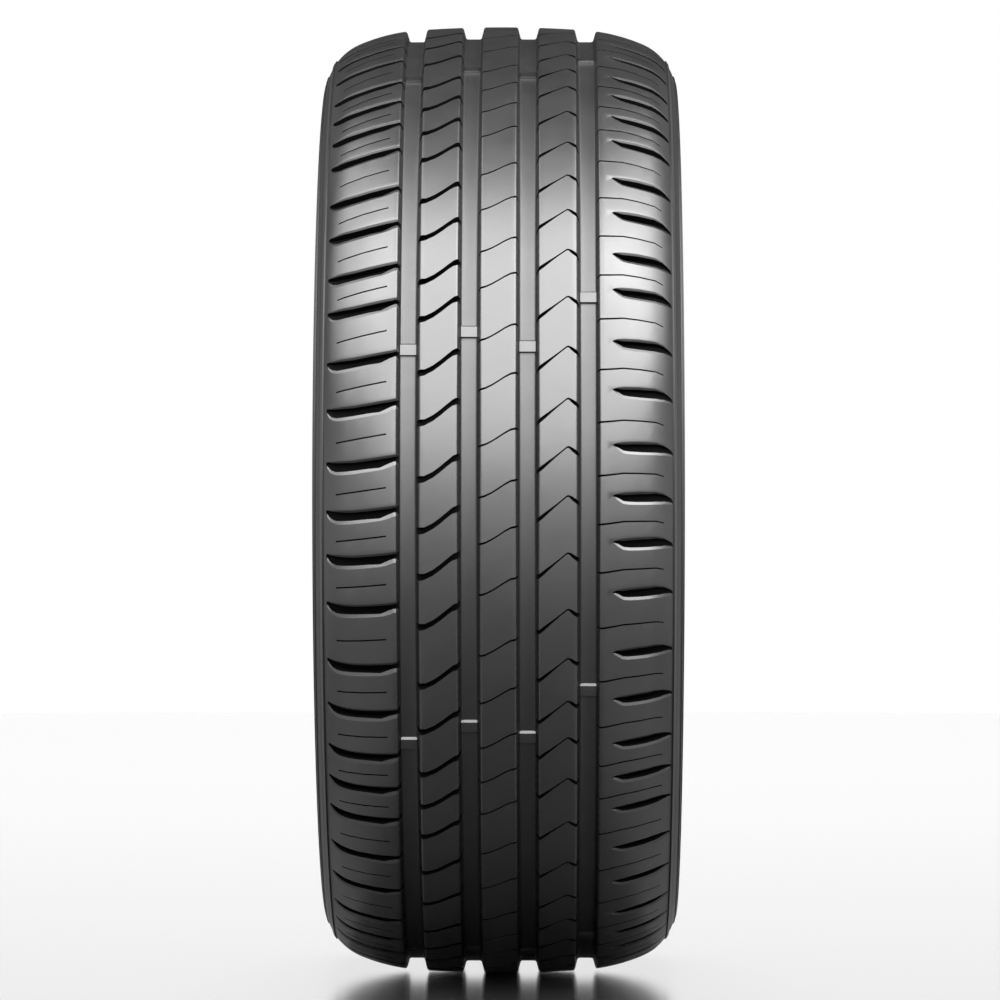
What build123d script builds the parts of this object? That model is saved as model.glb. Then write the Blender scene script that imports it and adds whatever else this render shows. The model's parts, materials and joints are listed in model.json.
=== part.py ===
from build123d import *
import os
from math import cos, radians, sin, sqrt, tan

# Radial car tyre, moulded in one piece. Sizes are in millimetres, angles in degrees.
# The spin axis is +Y through the wheel's centre, +X looks out of the tread and +Z is up.
# In the section sketch x is the radius and y is the distance from the tyre's middle plane.
# Angles run round the spin axis from +X, positive towards -Z.

# Overall sizes of the fitted tyre
outer_diameter = 644.0
section_width = 237.6
bead_seat_diameter = 436.6
rim_width = 203.2

# Tread and shoulder outline
crown_radius = 780.0
tread_width = 192.0
tread_edge_fall = 11.6
buttress_height = 16.0
buttress_inset = 0.7

# Sidewall and rim guard, heights measured outwards from the bead seat
widest_height = 46.7
rim_guard_height = 24.0
rim_guard_thickness = 5.0
rim_guard_inset = 3.0
flange_height = 17.5
flange_inset = 11.5

# Bead
heel_radius = 6.5
bead_base_width = 19.6
toe_height = 7.0
toe_lean = 1.5

# Wall thickness at the crown, the tread edge, the widest point and the bead filler
crown_wall = 14.6
tread_edge_wall = 13.0
sidewall = 8.8
bead_filler_wall = 14.0

# Main grooves round the tread
inner_groove_centre = 18.5
outer_groove_centre = 57.0
groove_opening = 14.4
groove_floor = 9.2
groove_depth = 8.0

# Order of the tread pitches round the tyre, five lengths mixed to break up the tread's hum
pitch_ratios = {"A": 0.81, "B": 0.91, "C": 1.0, "D": 1.11, "E": 1.23}
pitch_order = "AADBCADCDCBCECCAADDE" + "CBDCDBCDECCADCEDBCCADBCEDCBACDBDCBACDEBCDA"
first_pitch_angle = -56.8

# Cross slots of the second and fourth rib, each at an angle from the start of its pitch
rib_slot_depth = 6.0
second_rib_slot_width = 2.8
second_rib_slot_rise = 14.0
second_rib_slot_angle = 3.5
fourth_rib_slot_width = 2.8
fourth_rib_slot_length = 18.3
fourth_rib_slot_rise = 17.1
fourth_rib_slot_angle = -4.6

# Shoulder slots, which fall towards the sidewall and run out on the shoulder
shoulder_slot_depth = 6.6
shoulder_slot_fall = 14.0
left_slot_gap = 6.0
left_slot_width = 7.4
left_slot_rise = 5.6
left_slot_angle = 3.1
right_slot_gap = 8.5
right_slot_point = 7.0
right_slot_tip = 1.8
right_slot_width = 7.4
right_slot_drop = 4.0
right_slot_angle = 1.0

# Cuts run this far past the surface that they open through
overcut = 4.0

# Places that follow from the sizes above
outer_radius = outer_diameter / 2
bead_seat_radius = bead_seat_diameter / 2
half_width = section_width / 2
tread_edge = tread_width / 2
tread_edge_radius = outer_radius - tread_edge_fall
widest_radius = bead_seat_radius + widest_height
guard_radius = bead_seat_radius + rim_guard_height
guard_side = half_width - rim_guard_inset
flange_radius = bead_seat_radius + flange_height
flange_side = half_width - flange_inset
heel_side = rim_width / 2
toe_side = heel_side - bead_base_width
liner_side = half_width - sidewall
liner_edge = (tread_edge_radius - tread_edge_wall, tread_edge - sidewall)
second_rib_start = -outer_groove_centre + groove_opening / 2
second_rib_end = -inner_groove_centre - groove_opening / 2
fourth_rib_start = inner_groove_centre + groove_opening / 2
shoulder_start = outer_groove_centre + groove_opening / 2
shoulder_reach = (half_width - shoulder_start + overcut) / cos(radians(shoulder_slot_fall))


def surface_radius(side):
    """Radius of the crown at a distance from the middle plane."""
    return outer_radius - crown_radius + sqrt(crown_radius**2 - side**2)


def groove_outline(centre):
    """Section of a main groove: a flat floor and two sloped walls that run past the crown."""
    floor = surface_radius(centre) - groove_depth
    top = surface_radius(centre) + overcut
    slope = (groove_opening - groove_floor) / 2 / groove_depth
    half_top = groove_opening / 2 + overcut * slope
    half_floor = groove_floor / 2
    return [
        (floor, centre - half_floor),
        (floor, centre + half_floor),
        (top, centre + half_top),
        (top, centre - half_top),
    ]


def pitch_angles(offset, share=0):
    """Angle of one slot in every pitch: a share of the pitch's length and a fixed offset."""
    angle_per_ratio = 360 / sum(pitch_ratios[letter] for letter in pitch_order)
    angles = []
    start = first_pitch_angle
    for letter in pitch_order:
        length = angle_per_ratio * pitch_ratios[letter]
        angles.append(start + share * length + offset)
        start += length
    return angles


def floor_plane(angle, radius, side=0, fall=0):
    """Plane of a slot's floor, with x across the tread and its normal pointing outwards."""
    out = Vector(cos(radians(angle)), 0, -sin(radians(angle)))
    across = Vector(0, 1, 0)
    return Plane(
        origin=out * radius + across * side,
        x_dir=across * cos(radians(fall)) - out * sin(radians(fall)),
        z_dir=out * cos(radians(fall)) + across * sin(radians(fall)),
    )


def slanted_slot(start, end, width):
    """Outline of a straight slot between two points of its spine."""
    half = width / 2
    return [
        (start[0], start[1] + half),
        (end[0], end[1] + half),
        (end[0], end[1] - half),
        (start[0], start[1] - half),
    ]


# Rising slot from groove to groove across the second rib
rib_slot_radius = surface_radius(outer_groove_centre) - rib_slot_depth
second_slope = second_rib_slot_rise / (second_rib_end - second_rib_start)
second_half_rise = second_rib_slot_rise / 2 + overcut * second_slope
second_rib_slot = slanted_slot(
    (second_rib_start - overcut, -second_half_rise),
    (second_rib_end + overcut, second_half_rise),
    second_rib_slot_width,
)
second_rib_planes = [
    floor_plane(angle, rib_slot_radius) for angle in pitch_angles(second_rib_slot_angle)
]

# Rising slot from the inner groove into the fourth rib
fourth_slope = fourth_rib_slot_rise / fourth_rib_slot_length
fourth_rib_slot = slanted_slot(
    (fourth_rib_start - overcut, -overcut * fourth_slope),
    (fourth_rib_start + fourth_rib_slot_length, fourth_rib_slot_rise),
    fourth_rib_slot_width,
)
fourth_rib_planes = [
    floor_plane(angle, rib_slot_radius) for angle in pitch_angles(fourth_rib_slot_angle, 0.5)
]

# Slot over the left shoulder, square at its inner end
shoulder_slot_radius = surface_radius(shoulder_start) - shoulder_slot_depth
left_shoulder_slot = slanted_slot(
    (-shoulder_reach, -left_slot_rise / 2),
    (-left_slot_gap, left_slot_rise / 2),
    left_slot_width,
)
left_shoulder_planes = [
    floor_plane(angle, shoulder_slot_radius, -shoulder_start, -shoulder_slot_fall)
    for angle in pitch_angles(left_slot_angle)
]

# Slot over the right shoulder, pointed at its inner end and bent down at the outer one
right_shoulder_slot = [
    (right_slot_gap, right_slot_tip),
    (right_slot_gap + right_slot_point, right_slot_width / 2),
    (shoulder_reach, right_slot_width / 2 - right_slot_drop),
    (shoulder_reach, -right_slot_width / 2 - right_slot_drop),
    (right_slot_gap + right_slot_point, -right_slot_width / 2),
]
right_shoulder_planes = [
    floor_plane(angle, shoulder_slot_radius, shoulder_start, shoulder_slot_fall)
    for angle in pitch_angles(right_slot_angle)
]

# Height from a slot's floor to clear of the tread
rib_slot_height = rib_slot_depth + overcut
shoulder_slot_height = shoulder_slot_depth + shoulder_reach * tan(radians(shoulder_slot_fall))

slot_families = [
    (second_rib_planes, second_rib_slot, rib_slot_height),
    (fourth_rib_planes, fourth_rib_slot, rib_slot_height),
    (left_shoulder_planes, left_shoulder_slot, shoulder_slot_height),
    (right_shoulder_planes, right_shoulder_slot, shoulder_slot_height),
]

with BuildPart() as tyre:
    # Section: half the outline from crown to bead and back along the liner, then its mirror
    with BuildSketch(Plane.XY) as section:
        with BuildLine():
            crown_end = (surface_radius(outer_groove_centre), outer_groove_centre)
            crown = RadiusArc((outer_radius, 0), crown_end, -crown_radius)
            tread = TangentArc(crown @ 1, (tread_edge_radius, tread_edge), tangent=crown % 1)
            buttress = (widest_radius + buttress_height, half_width - buttress_inset)
            shoulder = TangentArc(tread @ 1, buttress, tangent=tread % 1)
            widest = (widest_radius, half_width)
            upper_sidewall = TangentArc(widest, shoulder @ 1, tangent=(1, 0))
            guard_top = (guard_radius + rim_guard_thickness, guard_side)
            lower_sidewall = TangentArc(widest, guard_top, tangent=(-1, 0))
            rim_guard = Polyline(
                lower_sidewall @ 1,
                (guard_radius, guard_side),
                (flange_radius, flange_side),
                (bead_seat_radius + heel_radius, heel_side),
            )
            heel_end = (bead_seat_radius, heel_side - heel_radius)
            heel = RadiusArc(rim_guard @ 1, heel_end, heel_radius)
            bead = Polyline(
                heel @ 1,
                (bead_seat_radius, toe_side),
                (bead_seat_radius + toe_height, toe_side + toe_lean),
                (flange_radius, flange_side - bead_filler_wall),
            )
            lower_liner = TangentArc((widest_radius, liner_side), bead @ 1, tangent=(-1, 0))
            upper_liner = TangentArc((widest_radius, liner_side), liner_edge, tangent=(1, 0))
            crown_liner = TangentArc((outer_radius - crown_wall, 0), liner_edge, tangent=(0, 1))
            Line(crown_liner @ 0, crown @ 0)
        make_face()
        mirror(about=Plane.XZ)
        for centre in (inner_groove_centre, outer_groove_centre):
            for side in (-centre, centre):
                with BuildLine():
                    Polyline(*groove_outline(side), close=True)
                make_face(mode=Mode.SUBTRACT)
    revolve(axis=Axis.Y)

    # Tread slots: each family repeats one outline at its own angle in every pitch
    for planes, outline, height in slot_families:
        with BuildSketch(*planes) as slots:
            with BuildLine():
                Polyline(*outline, close=True)
            make_face()
        extrude(amount=height, mode=Mode.SUBTRACT)

tyre.part.label = "tyre"
os.makedirs("parts", exist_ok=True)
export_step(tyre.part, "parts/tyre.step")
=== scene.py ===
import json
import math
from bisect import bisect_right

import bmesh
import bpy
from bpy.props import FloatProperty, FloatVectorProperty, PointerProperty, StringProperty
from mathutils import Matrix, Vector
from mathutils.geometry import delaunay_2d_cdt

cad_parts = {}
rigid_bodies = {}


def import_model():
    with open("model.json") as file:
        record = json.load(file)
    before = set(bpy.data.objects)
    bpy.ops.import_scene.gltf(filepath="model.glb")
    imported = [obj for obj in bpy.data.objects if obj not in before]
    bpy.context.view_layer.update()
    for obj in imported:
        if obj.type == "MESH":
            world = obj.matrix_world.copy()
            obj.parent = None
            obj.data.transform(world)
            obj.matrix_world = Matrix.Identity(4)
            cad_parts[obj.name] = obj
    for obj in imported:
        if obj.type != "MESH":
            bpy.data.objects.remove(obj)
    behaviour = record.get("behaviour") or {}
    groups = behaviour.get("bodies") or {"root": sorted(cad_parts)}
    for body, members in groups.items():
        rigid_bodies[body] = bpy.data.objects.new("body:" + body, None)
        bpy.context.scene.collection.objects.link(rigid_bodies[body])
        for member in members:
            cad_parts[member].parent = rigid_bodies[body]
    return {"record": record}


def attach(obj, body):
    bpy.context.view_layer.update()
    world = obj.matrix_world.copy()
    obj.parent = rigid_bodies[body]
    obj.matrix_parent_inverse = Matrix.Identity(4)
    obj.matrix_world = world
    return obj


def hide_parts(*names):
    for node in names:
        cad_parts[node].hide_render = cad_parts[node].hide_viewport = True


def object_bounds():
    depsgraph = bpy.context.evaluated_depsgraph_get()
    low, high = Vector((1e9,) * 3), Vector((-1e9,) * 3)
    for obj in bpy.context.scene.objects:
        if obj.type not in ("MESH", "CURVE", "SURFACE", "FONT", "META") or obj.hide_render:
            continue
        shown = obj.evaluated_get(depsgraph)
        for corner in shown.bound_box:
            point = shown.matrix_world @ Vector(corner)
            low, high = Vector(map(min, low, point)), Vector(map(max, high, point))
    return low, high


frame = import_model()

bl_info = {
    "name": "Road Tyre",
    "version": (1, 0, 0),
    "blender": (4, 5, 0),
    "location": "3D View > Sidebar > Tyre",
    "description": "Builds a moulded road tyre pitch by pitch, its wear bars and a plain studio",
    "category": "Add Mesh",
}

MM = 0.001
BODY = "root"
NODE = "tyre"
CAD_LOW, CAD_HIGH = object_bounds()
BEAD_SEAT_RADIUS = frame["record"]["mounts"][0]["dims"]["r_mm"] * MM


# Settings that a user would change

class TyreSizes(bpy.types.PropertyGroup):
    """Section of the tyre: tread, grooves, sidewalls and beads"""

    outer_radius: FloatProperty(
        name="Outer Radius", description="Radius over the crown of the tread",
        default=max(CAD_HIGH.x, CAD_HIGH.z), unit="LENGTH")
    half_width: FloatProperty(
        name="Half Width", description="Distance from the middle plane to the widest point",
        default=CAD_HIGH.y, unit="LENGTH")
    bead_seat_radius: FloatProperty(
        name="Bead Seat Radius", description="Radius of the bead bases",
        default=BEAD_SEAT_RADIUS, unit="LENGTH")
    crown_radius: FloatProperty(
        name="Crown Radius", description="Radius of the crown across the tread",
        default=780 * MM, unit="LENGTH")
    tread_edge: FloatProperty(
        name="Tread Edge", description="Distance from the middle plane to the edge of the tread",
        default=96 * MM, unit="LENGTH")
    tread_edge_fall: FloatProperty(
        name="Tread Edge Fall", description="Drop from the crown to the edge of the tread",
        default=11.6 * MM, unit="LENGTH")
    inner_groove: FloatProperty(
        name="Inner Groove", description="Distance from the middle plane to an inner groove",
        default=18.5 * MM, unit="LENGTH")
    outer_groove: FloatProperty(
        name="Outer Groove", description="Distance from the middle plane to an outer groove",
        default=57 * MM, unit="LENGTH")
    groove_opening: FloatProperty(
        name="Groove Opening", description="Width of a main groove at the tread surface",
        default=14.4 * MM, unit="LENGTH")
    groove_floor: FloatProperty(
        name="Groove Floor", description="Width of a main groove at its floor",
        default=10.2 * MM, unit="LENGTH")
    groove_depth: FloatProperty(
        name="Groove Depth", description="Depth of a main groove",
        default=8 * MM, unit="LENGTH")
    groove_edge_radius: FloatProperty(
        name="Groove Edge Radius", description="Rounding of the rib edges along a main groove",
        default=1.5 * MM, unit="LENGTH")
    groove_foot_radius: FloatProperty(
        name="Groove Foot Radius", description="Rounding between a groove's walls and its floor",
        default=1.4 * MM, unit="LENGTH")


class TreadPattern(bpy.types.PropertyGroup):
    """Order of the pitches round the tread, and the wear bars"""

    pitch_order: StringProperty(
        name="Pitch Order", description="Pitch lengths round the tyre, from A, short, to E, long",
        default="AADBCADCDCBCECCAADDECBDCDBCDECCADCEDBCCADBCEDCBACDBDCBACDEBCDA")
    first_pitch_angle: FloatProperty(
        name="First Pitch Angle", description="Where the first pitch starts, down from the front",
        default=math.radians(-56.8), subtype="ANGLE")
    bar_height: FloatProperty(
        name="Wear Bar Height", description="Height of a wear bar over the groove's floor",
        default=1.6 * MM, unit="LENGTH")
    bar_length: FloatProperty(
        name="Wear Bar Length", description="Length of a wear bar's foot along the groove",
        default=8.6 * MM, unit="LENGTH")


class RubberFinish(bpy.types.PropertyGroup):
    """Colours of the rubber"""

    tread_colour: FloatVectorProperty(
        name="Tread", description="Colour of the tread rubber", subtype="COLOR",
        size=4, min=0, max=1, default=(0.013, 0.013, 0.0135, 1))
    groove_colour: FloatVectorProperty(
        name="Grooves", description="Colour inside the main grooves", subtype="COLOR",
        size=4, min=0, max=1, default=(0.012, 0.012, 0.0125, 1))
    # Far darker than the tread's rubber: painted shade inside the slots and sipes
    shaded_slot_colour: FloatVectorProperty(
        name="Slots", description="Colour inside the slots and sipes", subtype="COLOR",
        size=4, min=0, max=1, default=(0.003, 0.003, 0.0031, 1))
    sidewall_colour: FloatVectorProperty(
        name="Sidewall", description="Colour of the sidewall rubber", subtype="COLOR",
        size=4, min=0, max=1, default=(0.013, 0.013, 0.0135, 1))
    liner_colour: FloatVectorProperty(
        name="Liner", description="Colour of the inner liner", subtype="COLOR",
        size=4, min=0, max=1, default=(0.016, 0.016, 0.0165, 1))


class StudioLook(bpy.types.PropertyGroup):
    """Camera, lamps and floor"""

    camera_distance: FloatProperty(
        name="Camera Distance", description="From the camera to the wheel's centre",
        default=3.977, unit="LENGTH")
    camera_azimuth: FloatProperty(
        name="Camera Azimuth", description="Turn of the camera from straight ahead",
        default=math.radians(0.41), subtype="ANGLE")
    camera_elevation: FloatProperty(
        name="Camera Elevation", description="Height of the camera over the wheel's centre",
        default=math.radians(-0.25), subtype="ANGLE")
    camera_aside: FloatProperty(
        name="Camera Aside", description="Shift of the camera along the spin axis",
        default=-1.05 * MM, unit="LENGTH")
    camera_lens: FloatProperty(
        name="Lens", description="Focal length on a 36 mm sensor, in millimetres", default=209.5)
    light_power: FloatProperty(
        name="Light", description="Power of the lamps; each takes its own share of it",
        default=68, unit="POWER")
    floor_colour: FloatVectorProperty(
        name="Floor", description="Colour of the floor and backdrop", subtype="COLOR",
        size=4, min=0, max=1, default=(0.80, 0.80, 0.80, 1))


# Lengths of the pitches, as shares of the mean one
PITCH_RATIOS = {"A": 0.81, "B": 0.91, "C": 1.0, "D": 1.11, "E": 1.23}

# A tile runs from this far before one pitch line to this far before the next, in mm, and its
# plain faces are this many to a pitch
TILE_LEAD = 3.0
TILE_COLUMNS = 5

# Half-width of the carved tread, past which the moulding is plain rings, in mm, and steps in each
# arc of the crown
CARVED_EDGE = 110.8
CROWN_STEPS = 40

# Places across half the tread where its ribs have a line of points, in mm
MIDDLE_RIB = (0, 4, 8)
NEXT_RIB = (29, 33, 37.5, 42, 46)
SHOULDER = (68, 72.5, 77, 81.5, 86, 90, 93.5, 96.5, 99.5, 102.3, 104.8, 107, 109, CARVED_EDGE)

# Section below the tread, in mm: heights over the bead seat, insets from the widest point
WIDEST_HEIGHT = 46.7
BUTTRESS_RISE, BUTTRESS_INSET = 16, 0.7
GUARD_TOP, GUARD_FOOT, GUARD_INSET = 29, 24, 3
FLANGE_HEIGHT, FLANGE_INSET = 17.5, 11.5
HEEL_SIDE, HEEL_HEIGHT, HEEL_INSET = 101.6, 6.5, 1.2
BEAD_BASE, TOE_HEIGHT, TOE_LEAN = 19.6, 7, 1.5
CROWN_WALL, SIDE_WALL, FILLER_WALL = 14.6, 8.8, 14
LINER_EDGE_DEPTH, LINER_EDGE_SIDE = 24.6, 87.2

# Roundings from the rim guard to the bead's toe: radius in mm, steps
BEAD_ROUNDINGS = ((0.8, 2), (1.6, 2), (3, 2), (4, 2), (5, 3), (1.2, 2), (2, 1))

# Rings stand this far out of the sidewall, and the parting ring out of the shoulder, in mm
RING_LIFT, PARTING_LIFT = 0.7, 0.9

# Skew of the pitch line across the tread: distance from the middle plane, shift, in mm
PITCH_LINE = [
    (-113, 15.77), (-61.6, 10.37),
    (-52.4, 21.6), (-50.5, 21.55), (-46.5, 21.15), (-41, 18.35), (-36.5, 14.95),
    (-31.5, 10.75), (-28.5, 8.45), (-25, 7.15), (-23.1, 6.6),
    (-13.9, 0.7), (-11.5, 0.2), (-8, -0.8), (-4, -2.8), (0, -5.3),
    (4, -8), (8, -10.2), (11.5, -10.9), (13.9, -11.4),
    (23.1, -28.85), (24.5, -30), (31.5, -35.8), (44, -46.2), (51, -41), (52.4, -40),
    (61.6, 4.9), (64.2, 4.6), (72.2, 4), (79.2, 2.7), (88.9, 2.25), (99.6, 2.25),
    (104.5, 3.6), (109.8, 6.7), (113, 8),
]

# Cuts of one pitch, in mm. A station is: distance from the middle plane, upper and lower edge at
# the surface, depth. Edges count down from the pitch line. The floor is narrower by the draft on
# both sides. The brow rounds the upper edge off in rows of width and fall from that edge, and the
# lip is a bevel along the lower edge: distance from the middle plane, width, fall. An end is open
# into a groove, closed by a wall, or runs out at the surface.
PLAIN_CUT = {"draft": 0, "brow": [], "lip": []}
CUTS = {
    "left shoulder slot": {
        "share": 0, "ends": ("runs out", "open"), "draft": 0.3,
        "brow": [(0.6, 0.08), (2, 0.8)],
        "lip": [(-110, 2.1, 0.8), (-90, 2.3, 0.85), (-77, 1.9, 0.75), (-73.5, 1.4, 0.65),
                (-70, 2.7, 0.95), (-65.6, 2.4, 0.85)],
        "stations": [
            (-108.7, -1.3, 0.5, 0), (-108.1, -1.6, 2.4, 1.8), (-106.9, -1.6, 5, 3.2),
            (-105.3, -1.5, 6.8, 4.2), (-102.3, -1.3, 8.3, 5), (-99.2, -1.1, 8.7, 5.5),
            (-96, -0.85, 8.9, 5.8), (-91, -0.5, 9.05, 6.2), (-81.9, -0.5, 8.75, 6.5),
            (-74.5, -0.6, 8.45, 6.5), (-71, -0.7, 8, 6.4), (-68.6, -0.75, 7.4, 6.2),
            (-66.8, -0.8, 6.8, 6), (-65.6, -0.9, 6.4, 5.8),
        ],
    },
    "left shoulder sipe": {
        "share": 0.5, "ends": ("closed", "closed"),
        "stations": [
            (-102.5, 4.47, 5.47, 2.4), (-98, 4.31, 5.31, 4.4), (-86.5, 3.9, 4.9, 5),
            (-75, 3.5, 4.5, 5), (-70.5, 3.34, 4.34, 4),
        ],
    },
    "second rib slot": {
        "share": 0, "ends": ("open", "open"), "draft": 0.2,
        "stations": [
            (-48.5, 2.7, 7.2, 6), (-46.5, 2.95, 6.95, 6), (-44, 3.05, 6.85, 6),
            (-41, 3.05, 6.85, 6), (-36.5, 3.1, 6.85, 6), (-31.5, 3.1, 6.8, 6),
            (-28.5, 2.95, 6.95, 6), (-27.2, 2.75, 7.15, 6),
        ],
    },
    "middle rib sipe": {
        "share": 0, "ends": ("open", "open"),
        "stations": [
            (-9.8, 4.3, 5.7, 5), (-8, 4.35, 5.65, 5), (-4, 4.4, 5.6, 5),
            (0, 4.4, 5.6, 5), (4, 4.4, 5.6, 5), (8, 4.35, 5.65, 5),
            (9.8, 4.3, 5.7, 5),
        ],
    },
    "fourth rib chevron": {
        "share": 0.5, "ends": ("open", "open"), "draft": 0.1,
        "stations": [
            (27.2, 2.8, 5.8, 6), (29.5, 2.95, 5.65, 6), (32, 3.2, 5.4, 6),
            (35, 3.5, 5.1, 5.5), (39, 3.7, 4.9, 5), (43.4, 3.72, 4.88, 5),
            (44.6, 3.65, 4.95, 5), (45.6, 3.3, 5.3, 5.5), (46.6, 3, 5.6, 6),
            (48.4, 2.85, 5.75, 6),
        ],
    },
    "right shoulder slot": {
        "share": 0, "ends": ("runs out", "runs out"), "draft": 0.3,
        "brow": [(0.6, 0.08), (2, 0.8)],
        "lip": [(71, 1.8, 0.85), (110.5, 1.8, 0.85)],
        "stations": [
            (72.4, -0.1, 0.7, 0), (73.9, -0.6, 2.1, 2.6), (75.6, -1, 3.9, 4.8),
            (79, -1.15, 6.6, 6.2), (82.7, -1.25, 7.25, 6.4), (88.9, -1.3, 7.7, 6.3),
            (94.5, -1.3, 7.7, 5.9), (99.6, -1.3, 7.5, 5.3), (102.5, -1.25, 6.8, 4.6),
            (104.5, -1.15, 6, 3.9), (107, -0.9, 4.8, 2.8), (109.2, -0.5, 3.6, 1.5),
            (110.3, 0.4, 2.6, 0),
        ],
    },
    "right shoulder sipe": {
        "share": 0.5, "ends": ("open", "closed"),
        "stations": [
            (66, 2.35, 3.65, 5), (69.1, 2.35, 3.55, 5), (79.2, 2.63, 3.69, 5),
            (88.9, 3.1, 4.1, 5), (99.6, 3.3, 4.2, 4), (104.5, 3.4, 4.2, 2),
        ],
    },
}

# Most that a brow, a lip and a draft take of a cut's width, and the depth at which a brow is full
BROW_SHARE, LIP_SHARE, DRAFT_SHARE = 0.3, 0.35, 0.1
FULL_BROW_DEPTH = 6

# Points of the sheet keep this far from a cut's outline, those of an open end this far over the
# cut's floor, and a point is on a line within this, in mm
OUTLINE_ROOM, FLOOR_ROOM, TOLERANCE = 0.9, 0.05, 1e-6

# Faces of the moulding by where they lie, and their rubber. The groove's are its floor and the
# parting ring; its walls and the inner row of a brow are dull like the sidewall
# The walls, floors and closed ends of the slots and sipes take a near-black rubber: painted shade
# in the cuts
ZONES = {
    "Tread": "tread_rubber", "Lip": "tread_rubber", "Groove": "groove_rubber",
    "Slot": "slot_rubber", "Sidewall": "sidewall_rubber", "Liner": "liner_rubber",
}
TREAD, LIP, GROOVE, SHADED_SLOT, SIDEWALL, LINER = range(len(ZONES))

# A groove keeps the tread's finish to this depth and its floor's from this far over it, in mm
GROOVE_EDGE, GROOVE_FOOT = 0.9, 0.8

# Rubbers: setting of the colour, lowest and highest roughness, specular level, weight and
# roughness of the coat, size of the grain in mm, strength of its bump, coat on the shoulders
RUBBERS = {
    "tread_rubber": ("tread_colour", (0.33, 0.45), 1.0, (1.0, 0.37), 0.6, 0.25, 0.05),
    "groove_rubber": ("groove_colour", (0.4, 0.52), 1.0, (0.45, 0.43), 0.6, 0.25, None),
    # The slot rubber is the black rubber darkened far below the tread's, with little gloss: painted
    # shade in the deep cuts
    "slot_rubber": ("shaded_slot_colour", (0.62, 0.72), 0.08, (0.0, 0.5), 0.8, 0.3, None),
    "sidewall_rubber": ("sidewall_colour", (0.4, 0.5), 0.5, (0.0, 0.5), 0.8, 0.3, None),
    "liner_rubber": ("liner_colour", (0.55, 0.7), 0.4, (0.0, 0.5), 1.5, 0.5, None),
}

# The coat fades out over the shoulder between these distances from the middle plane, in mm
SHOULDER_FADE = (96, 110)

# Ranges of the cloudy colour and of the wear that steers the gloss, depth of the grain in mm, and
# how the streaks are drawn out along the spin axis
CLOUD_RANGE, WEAR_RANGE, GRAIN_DEPTH, STREAK_DRAW = (0.8, 1.2), (0.6, 1.4), 0.2, (1, 0.07, 1)

# Edges that turn by more than this stay sharp, on the moulding and on a wear bar. Neighbouring
# pitches are welded where their points are closer than this, in mm
SHARP_ANGLE, BAR_SHARP_ANGLE = math.radians(40), math.radians(30)
WELD_DISTANCE = 0.02

# Lamps: name, what it lights, place, what it looks at, width and height, share of the power
LAMPS = [
    ("front_softbox", "tyre", (1.18, 0.13, 0.96), (0.05, 0, 0.05), (2.2, 1.76), 0.95),
    ("front_left_softbox", "tyre", (0.60, -1.02, 1.22), (0.1, 0, 0.1), (1.5, 1.4), 0.31),
    ("front_right_softbox", "tyre", (0.60, 1.02, 1.22), (0.1, 0, 0.1), (1.5, 1.4), 0.39),
    ("back_left_softbox", "tyre", (-1.3, -1.3, 0.7), (0, 0, 0), (0.8, 1.2), 0.015),
    ("back_right_softbox", "tyre", (-1.3, 1.3, 0.7), (0, 0, 0), (0.8, 1.2), 0.015),
    ("floor_back", "floor", (-4.0, 0, 5.0), (0, 0, -0.3), (1.6, 1.6), 3.4),
    ("floor_fill", "floor", (0, 0, 3.4), (0, 0, 0), (8.0, 8.0), 0.9),
]

# How the nodes of a tree are laid out
NODES_IN_ROW, NODE_SPACING = 8, (220, 350)

# Floor and backdrop: radius of both, height of the backdrop, sides of the circle. Light all round
STAGE_RADIUS, WALL_HEIGHT, STAGE_SIDES = 5.5, 1.3, 96
AMBIENT = 0.03

# Two neighbouring wear bars in each main groove from left to right, in degrees
BAR_ANGLES = ((-17.45, 29.95), (-19.55, 27.45), (-17.75, 28.9), (-24.05, 22.9))
BARS_PER_GROOVE = 8

# Outline of a wear bar along its groove, a wall below and a ramp above: end that a point belongs
# to, its distance from that end in mm, its share of the height
BAR_OUTLINE = ((-1, 0, 0), (-1, 0.45, 1), (1, 1.9, 1), (1, 1.2, 0.92), (1, 0, 0))
BAR_SUNK = 0.3


# Lines of the section, as (radius, distance from the middle plane) in mm

def between(table, x, column=1):
    """Value of a column of a sorted table at x, in a straight line between its rows."""
    index = min(max(bisect_right([row[0] for row in table], x), 1), len(table) - 1)
    low, high = table[index - 1], table[index]
    part = (x - low[0]) / (high[0] - low[0])
    return low[column] + (high[column] - low[column]) * part


def turned(direction, angle):
    """A direction of the section turned by an angle."""
    cosine, sine = math.cos(angle), math.sin(angle)
    return Vector((direction.x * cosine - direction.y * sine,
                   direction.x * sine + direction.y * cosine))


def tangent_arc(start, heading, end, steps):
    """Points of the arc that leaves start along heading and ends at end, and its last heading."""
    start, heading = Vector(start), Vector(heading).normalized()
    chord = Vector(end) - start
    half_turn = math.atan2(heading.x * chord.y - heading.y * chord.x, heading.dot(chord))
    points = [start]
    for step in range(1, steps + 1):
        turn = half_turn * step / steps
        reach = chord.length * math.sin(turn) / math.sin(half_turn)
        points.append(start + turned(heading, turn) * reach)
    return points, turned(heading, 2 * half_turn)


def rounded_line(points, roundings):
    """A line of straight runs with its corners rounded: each has a radius and a number of steps."""
    points = [Vector(point) for point in points]
    line = [points[0]]
    for before, corner, after, (radius, steps) in zip(points, points[1:], points[2:], roundings):
        way_in, way_out = (corner - before).normalized(), (after - corner).normalized()
        trim = radius * math.tan(way_in.angle(way_out) / 2)
        if trim > TOLERANCE:
            arc, _ = tangent_arc(corner - way_in * trim, way_in, corner + way_out * trim, steps)
            line += arc
        else:
            line.append(corner)
    return line + [points[-1]]


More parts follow.
